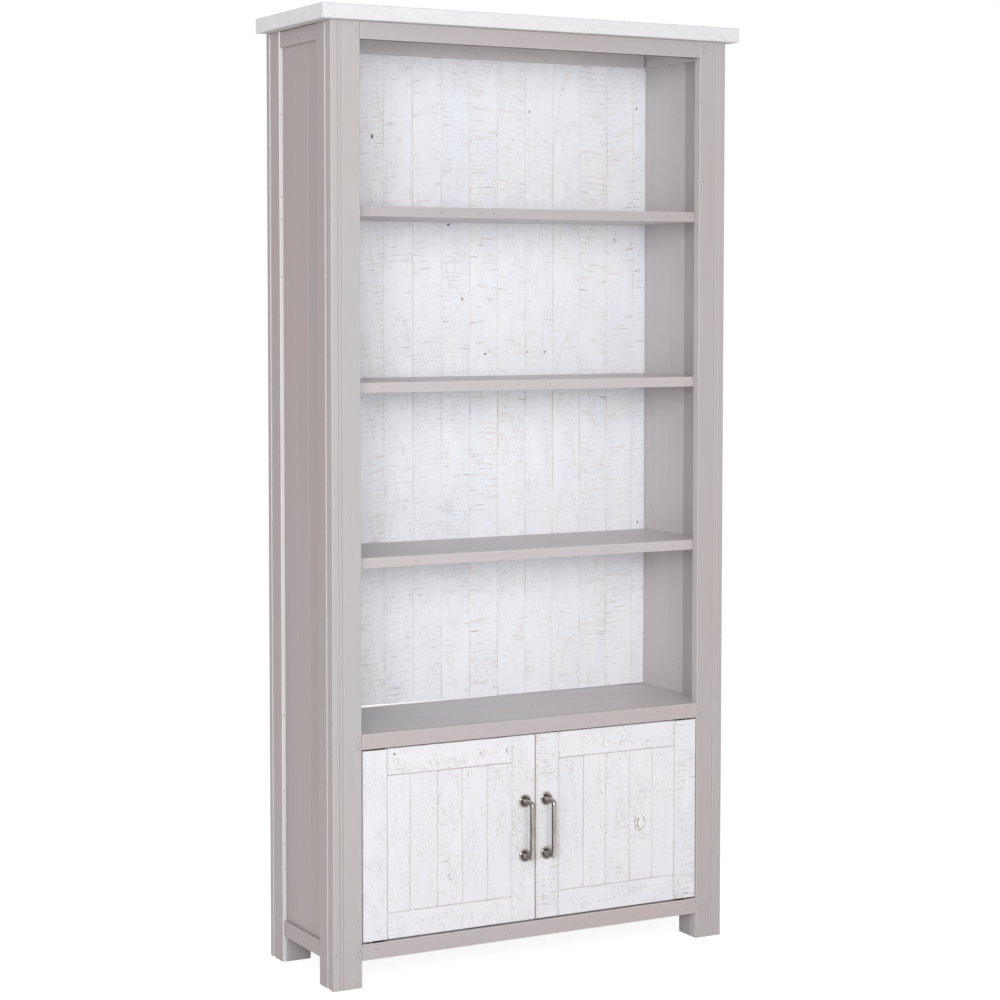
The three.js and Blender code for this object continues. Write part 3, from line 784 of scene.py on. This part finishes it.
def handle_skin(x, face, reach, bottom, top):
    """A bar of round section carried along a bent centre line, its radius given by the way along it.

    The centre line runs out from the door, round a quarter circle, up, round another and back. A foot is a
    disc with a round rim and a dished face, from which the stem rises in a trumpet whose radius falls as
    bar + (throat - bar) * (1 - way)^2. All is mirrored about the middle. The mark 'edge' is painted shade
    and
    dark reflection: it falls with the way up the trumpet, and it climbs as |cos|^3 round the bar towards its
    two sides.
    """
    turn = np.linspace(0, math.pi / 2, bend_rows)
    rim = np.linspace(0, math.pi, rim_rows)
    start = np.concatenate([[0.0], (foot_rim_height - foot_rim_arris) * np.linspace(0, 1, 4)[:3]])
    start_radius = np.array([foot_radius * 0.5, foot_radius - foot_back_arris, foot_radius, foot_radius])
    rim_out = foot_rim_height - foot_rim_arris * (1 - np.sin(rim))
    rim_radius = foot_radius - foot_rim_arris * (1 - np.cos(rim))
    way = np.linspace(0, 1, flare_rows)
    dish_floor = foot_rim_height - foot_rim_arris - dish_depth
    flare_out = dish_floor + (flare_height - dish_floor) * way
    throat = foot_radius - 2 * foot_rim_arris - dish_width
    flare_radius = bar_radius + (throat - bar_radius) * (1 - way) ** 2
    out = np.concatenate([start, rim_out, flare_out])
    radius = np.concatenate([start_radius, rim_radius, flare_radius])
    in_dish = np.clip(dish_shade - dish_shade_fall * way, 0, 1)
    tarnish_and_shade = np.concatenate([start * 0, rim_out[:-1] * 0, [dish_edge_shade], in_dish])
    straight = reach - bend_radius
    stem = np.array([out, out * 0])
    bend = np.array([straight + bend_radius * np.sin(turn), bend_radius * (1 - np.cos(turn))])
    half = np.concatenate([stem, bend], axis=1)
    directions = np.concatenate([out * 0, turn])
    radii = np.concatenate([radius, turn * 0 + bar_radius])
    painted_shades = np.concatenate([tarnish_and_shade, turn * 0])
    span = top - bottom
    up_rows = np.linspace(bend_radius, span - bend_radius, bar_rows)[1:-1]
    outs = np.concatenate([half[0], up_rows * 0 + reach, half[0, ::-1]])
    ups = np.concatenate([half[1], up_rows, span - half[1, ::-1]])
    turns = np.concatenate([directions, up_rows * 0 + math.pi / 2, math.pi - directions[::-1]])
    radii = np.concatenate([radii, up_rows * 0 + bar_radius, radii[::-1]])
    painted_shades = np.concatenate([painted_shades, up_rows * 0, painted_shades[::-1]])
    around = np.linspace(0, 2 * math.pi, handle_around, endpoint=False)
    side = np.cos(around)[None] * radii[:, None]
    lift = np.sin(around)[None] * radii[:, None]
    rings = np.stack([x + side, face - outs[:, None] + lift * np.sin(turns)[:, None],
                      bottom + ups[:, None] + lift * np.cos(turns)[:, None]], axis=-1)
    travelled = np.concatenate([[0], np.cumsum(np.hypot(np.diff(outs), np.diff(ups)))])
    grain = np.stack(np.broadcast_arrays(travelled[:, None], side, lift), axis=-1)
    on_bar = radii[:, None] == bar_radius
    on_sides = np.where(on_bar, bar_side_shade * np.abs(np.cos(around)[None]) ** 3, 0)
    return skin(rings, np.maximum(painted_shades[:, None], on_sides), grain, board=0.5)


def brushed_metal(name, colour, dark_colour, roughness, modelled=True):
    """Plated metal brushed round the bar, with cloudy tarnish, and darker where the mark 'edge' is 1, as
    painted shade.

    Plates that aren't modelled here carry no marks, so theirs goes by the place in the piece.
    """
    metal = Finish(bpy.data.materials.new(name))
    grain = metal.mark("grain", "Vector") if modelled else metal.place()
    deep = metal.mark("edge")
    scratch = metal.noise(grain, (2600.0, 60.0, 60.0), 3.0, 0.6)
    tarnish_and_shade = metal.noise(grain, (60.0, 90.0, 90.0), 4.0, 0.6)
    # The mark 'edge' darkens the colour as painted shade and dark reflection.
    colour = metal.tint(tarnish_and_shade.climb(0.38, 0.7) * 0.3 + scratch * 0.15 + deep * 0.5, colour, dark_colour)
    return metal.finish(
        Base_Color=colour,
        Metallic=1.0,
        Roughness=roughness + scratch * 0.1 + tarnish_and_shade * 0.06,
        Normal=metal.bump(scratch, 0.00004),
    )


brushed_nickel = brushed_metal("brushed_nickel", srgb(189, 183, 178), srgb(98, 90, 85), roughness=0.13)
for hand, side in hands:
    node = f"{hand}_door_handle"
    low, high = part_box(node)
    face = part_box(f"{hand}_door_meeting_stile")[0].y
    middle = (low.z + high.z) / 2
    reach = face - low.y - bar_radius
    casting = handle_skin((low.x + high.x) / 2, face, reach, middle - handle_centres / 2,
                          middle + handle_centres / 2)
    assemble(f"nickel_{node}", [casting], brushed_nickel, f"{hand}_door", [node])

# Pivot hinges: a plate with a pin in the rail over or under each door, and a plate with a socket in the end
# of the hinge stile. All are zinc-plated steel, and so are the strike plates on the doors. The double
# magnetic catch that holds these is of white plastic.
zinc_steel = brushed_metal("zinc_steel", srgb(128, 129, 131), srgb(92, 93, 95), roughness=0.42,
                           modelled=False)
mould = Finish(bpy.data.materials.new("white_plastic"))
mould_grain = mould.noise(mould.place(), (1400.0, 1400.0, 1400.0))
white_plastic = mould.finish(
    Base_Color=mould.tint(mould_grain, srgb(226, 224, 218), srgb(234, 232, 226)),
    Roughness=0.38 + mould_grain * 0.16,
    Normal=mould.bump(mould_grain, 0.00004),
)
for name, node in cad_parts.items():
    if name.endswith(("pin_plate", "socket_plate", "strike", "catch")):
        node.data.materials.clear()
        node.data.materials.append(white_plastic if name == "magnetic_catch" else zinc_steel)

# Brads fix shelves, rails and strips, three through each tenon of the front rails, all sunk a little and
# touched in. The whitewash leaves some small loose knots of the back boards and doors dark. All are made as
# low domes a hair proud.
brad_radius = 0.0014
brad_shares = (0.8, 1.15)
dome_rise = 0.0002
dome_sink = 0.0004
dome_around = 8


def dome(place, facing, wide, tall):
    """A low dome with an oval foot on an upright face, as rings from its foot to a small flat top.

    A ring's points are wide * share * cos across the face and tall * share * sin up it, and the shares
    shrink as the dome rises. The facing is the axis, 0 or 1, and the sign that it rises along.
    """
    axis, sign = facing
    across = 1 - axis
    around = np.linspace(0, 2 * math.pi, dome_around, endpoint=False)
    share = np.array([1.0, 1.0, 0.8, 0.35])[:, None]
    rise = np.array([-dome_sink, 0.0, dome_rise * 0.8, dome_rise])[:, None]
    rings = np.zeros((4, dome_around, 3))
    rings[..., axis] = place[axis] + sign * rise
    rings[..., across] = place[across] + wide * share * np.cos(around)
    rings[..., 2] = place[2] + tall * share * np.sin(around)
    grain = rings - np.array(place)
    return skin(rings, rings[..., 0] * 0, grain, chance.random())


def dotted(name, colour, shade):
    """A touched-in hole or a small loose knot: a dull colour that clouds into a darker one."""
    dot = Finish(bpy.data.materials.new(name))
    grain = dot.mark("grain", "Vector")
    cloud = dot.noise(grain, (420.0, 420.0, 420.0), 2.0)
    return dot.finish(
        Base_Color=dot.tint(cloud.climb(0.35, 0.65), colour, shade),
        Roughness=0.6 + cloud * 0.2,
        Normal=dot.bump(cloud, 0.0001),
    )


filled_hole = dotted("filled_hole", srgb(130, 120, 117), srgb(101, 92, 89))
loose_knot = dotted("loose_knot", srgb(138, 124, 115), srgb(92, 79, 72))
front_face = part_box("front_left_stile")[0].y
tenon_middle = 0.396
tenon_levels = (1.856, 0.478, 0.070)
tenon_brads = ((-0.004, 0.005), (0.0015, 0.0005), (-0.001, -0.006))
stile_brads = [(side * (tenon_middle + dx), front_face, level + dz) for _, side in hands
               for level in tenon_levels for dx, dz in tenon_brads]
stile_brads += [(x, front_face, z) for x, z in (
    (-0.443, 0.070), (-0.396, 0.135), (0.392, 1.749), (0.398, 1.583), (0.418, 0.059), (0.414, 0.612),
    (-0.412, 0.92))]
rail_brads = [(x, front_face, z) for x, z in (
    (-0.358, 0.074), (0.368, 0.075), (-0.365, 0.489), (0.294, 0.488), (0.366, 0.493), (-0.207, 1.865),
    (0.12, 0.481), (-0.06, 0.066))]
strip_low, strip_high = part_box("rear_right_side_strip")
side_brads = [(side * strip_high.x, y, z) for _, side in hands
              for y, z in ((-0.0885, 0.12), (-0.0885, 0.9), (-0.0885, 1.64), (0.128, 0.46), (0.128, 1.3))]
side_rail_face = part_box("right_side_top_rail")[1].x
side_brads += [(side * side_rail_face, y, z) for _, side in hands
               for y, z in ((-0.060, 0.076), (0.099, 0.068), (0.02, 1.85))]
shelf_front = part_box("upper_shelf")[0].y
shelf_brads = [(x, shelf_front, level) for level, places in (
    (1.511, (-0.202, -0.159, -0.114, -0.086, 0.289, 0.322, 0.379)),
    (1.171, (-0.330, -0.031, 0.044, 0.074)), (0.828, (-0.255, 0.175, 0.340))) for x in places]
inner_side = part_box("right_side_panel")[0].x
inner_brads = [(side * inner_side, y, z) for _, side in hands for y, z in (
    (0.033, 1.734), (-0.008, 1.737), (0.010, 1.707), (0.058, 1.762), (0.119, 1.574), (0.077, 0.567),
    (0.046, 0.573), (0.010, 0.570), (0.006, 0.550), (0.118, 0.891), (0.118, 0.764), (0.118, 1.232),
    (0.064, 1.190), (0.100, 1.190), (0.117, 1.105), (0.005, 1.124), (0.024, 1.147))]
strip_middle = (strip_low.x + strip_high.x) / 2
step_brads = [(side * strip_middle, strip_low.y, z) for _, side in hands
              for z in (1.707, 1.544, 1.499, 1.385, 0.504, 0.348, 0.242, 0.191)]
rear_rail_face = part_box("rear_top_rail")[0].y
rear_rail_brads = [(x, rear_rail_face, z) for x, z in ((-0.015, 1.857), (0.009, 1.852))]
towards_front = (1, -1)
for name, places, outward in (("stile_brads", stile_brads, 0), ("rail_brads", rail_brads, 0),
                              ("shelf_brads", shelf_brads, 0), ("side_brads", side_brads, 1),
                              ("inner_brads", inner_brads, -1), ("step_brads", step_brads, 0),
                              ("rear_rail_brads", rear_rail_brads, 0)):
    heads = []
    for place in places:
        facing = (0, outward * math.copysign(1, place[0])) if outward else towards_front
        size = brad_radius * chance.uniform(*brad_shares)
        heads.append(dome(place, facing, size, size))
    assemble(name, heads, filled_hole, "carcass", [])

back_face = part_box("upper_back_boards")[0].y
back_knots = [(-0.227, 1.673, 0.0035, 0.006), (-0.051, 1.496, 0.003, 0.003), (-0.018, 1.342, 0.002, 0.003),
              (0.036, 1.226, 0.003, 0.002), (0.139, 1.229, 0.002, 0.002), (0.181, 1.229, 0.003, 0.002),
              (0.355, 1.470, 0.002, 0.003), (0.398, 1.462, 0.002, 0.002), (0.416, 0.854, 0.002, 0.003),
              (0.143, 1.737, 0.002, 0.0025), (0.103, 1.677, 0.0015, 0.002), (-0.095, 1.824, 0.002, 0.002),
              (-0.078, 1.765, 0.0015, 0.0015), (0.410, 1.753, 0.002, 0.003)]
left_knots = [(-0.317, 0.454, 0.0026, 0.0024), (-0.318, 0.440, 0.0011, 0.0010),
              (-0.308, 0.423, 0.0011, 0.0008), (-0.154, 0.405, 0.0011, 0.0010),
              (-0.154, 0.396, 0.0012, 0.0011), (-0.048, 0.404, 0.0012, 0.0012)]
right_knots = [(0.054, 0.377, 0.0012, 0.0011), (0.256, 0.331, 0.0009, 0.0009),
               (0.261, 0.311, 0.0012, 0.0011)]
for name, face, places, body in (("back_board_knots", back_face, back_knots, "carcass"),
                                 ("left_door_knots", front_face, left_knots, "left_door"),
                                 ("right_door_knots", front_face, right_knots, "right_door")):
    holes = [dome((x, face, z), towards_front, wide, tall) for x, z, wide, tall in places]
    assemble(name, holes, loose_knot, body, [])

# The room is a pale floor and a white surround. The floor shows white to the camera and in reflections but
# keeps a soft shadow. Three large lamps stand in front and to the left, as round a product table, and a
# smaller one hangs over the top.
floor_half = 8.0
shadow_reach = (0.8, 2.2)
floor_glow = 0.85
floor_corners = [(x * floor_half, y * floor_half, 0) for x, y in ((-1, -1), (1, -1), (1, 1), (-1, 1))]
floor_mesh = bpy.data.meshes.new("floor")
floor_mesh.from_pydata(floor_corners, [], [(0, 1, 2, 3)])
floor = bpy.data.objects.new("floor", floor_mesh)
scene.collection.objects.link(floor)


def seen_by(finish, *rays):
    """1 for rays of those kinds, such as the camera's own, and 0 for all others."""
    path = finish.node("ShaderNodeLightPath").socket.node.outputs
    kinds = [Flow(finish, path[f"Is {ray} Ray"]) for ray in rays]
    found = kinds[0]
    for kind in kinds[1:]:
        found = found.most(kind)
    return found


floor_white = Finish(bpy.data.materials.new("floor_white"))
diffuse = floor_white.node("ShaderNodeBsdfDiffuse", {}, {"Color": srgb(228, 228, 230)})
dim_diffuse = floor_white.node("ShaderNodeBsdfDiffuse", {}, {"Color": srgb(160, 160, 162)})
glow = floor_white.node("ShaderNodeEmission", {}, {"Strength": floor_glow})
near_shown = floor_white.node("ShaderNodeAddShader", {}, {0: dim_diffuse, 1: glow})
far_shown = floor_white.node("ShaderNodeEmission", {}, {"Strength": 1.0})
floor_x, floor_y, _ = floor_white.parts(floor_white.place())
far = (floor_x * floor_x + floor_y * floor_y).root().climb(*shadow_reach)
shown = floor_white.node("ShaderNodeMixShader", {}, {0: far, 1: near_shown, 2: far_shown})
directly = seen_by(floor_white, "Camera", "Glossy", "Transmission")
mixed = floor_white.node("ShaderNodeMixShader", {}, {0: directly, 1: diffuse, 2: shown})
floor_white.feed(floor_white.tree.nodes["Material Output"].inputs["Surface"], mixed)
floor_mesh.materials.append(floor_white.owner)

surround_light = 0.66
scene.world = bpy.data.worlds.new("surround")
surround = Finish(scene.world)
directly = seen_by(surround, "Camera", "Transmission")
surround.finish(Color=(1, 1, 1, 1), Strength=directly * (1 - surround_light) + surround_light)


def lamp(name, place, target, size, power):
    """A square soft lamp at a place, facing a target."""
    light = bpy.data.lights.new(name, "AREA")
    light.shape = "SQUARE"
    light.size = size
    light.energy = power
    holder = bpy.data.objects.new(name, light)
    holder.location = place
    facing = np.array(target) - np.array(place)
    yaw = math.atan2(facing[1], facing[0]) - math.pi / 2
    pitch = math.atan2(facing[2], math.hypot(facing[0], facing[1]))
    holder.rotation_euler = (math.pi / 2 + pitch, 0, yaw)
    scene.collection.objects.link(holder)


large_lamp = 1.6
case_middle = (0, 0, 0.95)
lamp("key_lamp", (-3.13, -4.64, 2.2), case_middle, large_lamp, 106)
lamp("front_lamp", (-0.97, -5.52, 1.5), case_middle, large_lamp, 86)
lamp("left_lamp", (-4.29, -3.6, 1.5), case_middle, large_lamp, 24)
lamp("top_lamp", (0, 0.9, 4.6), (0, 0.1, 1.9), 1.2, 30)
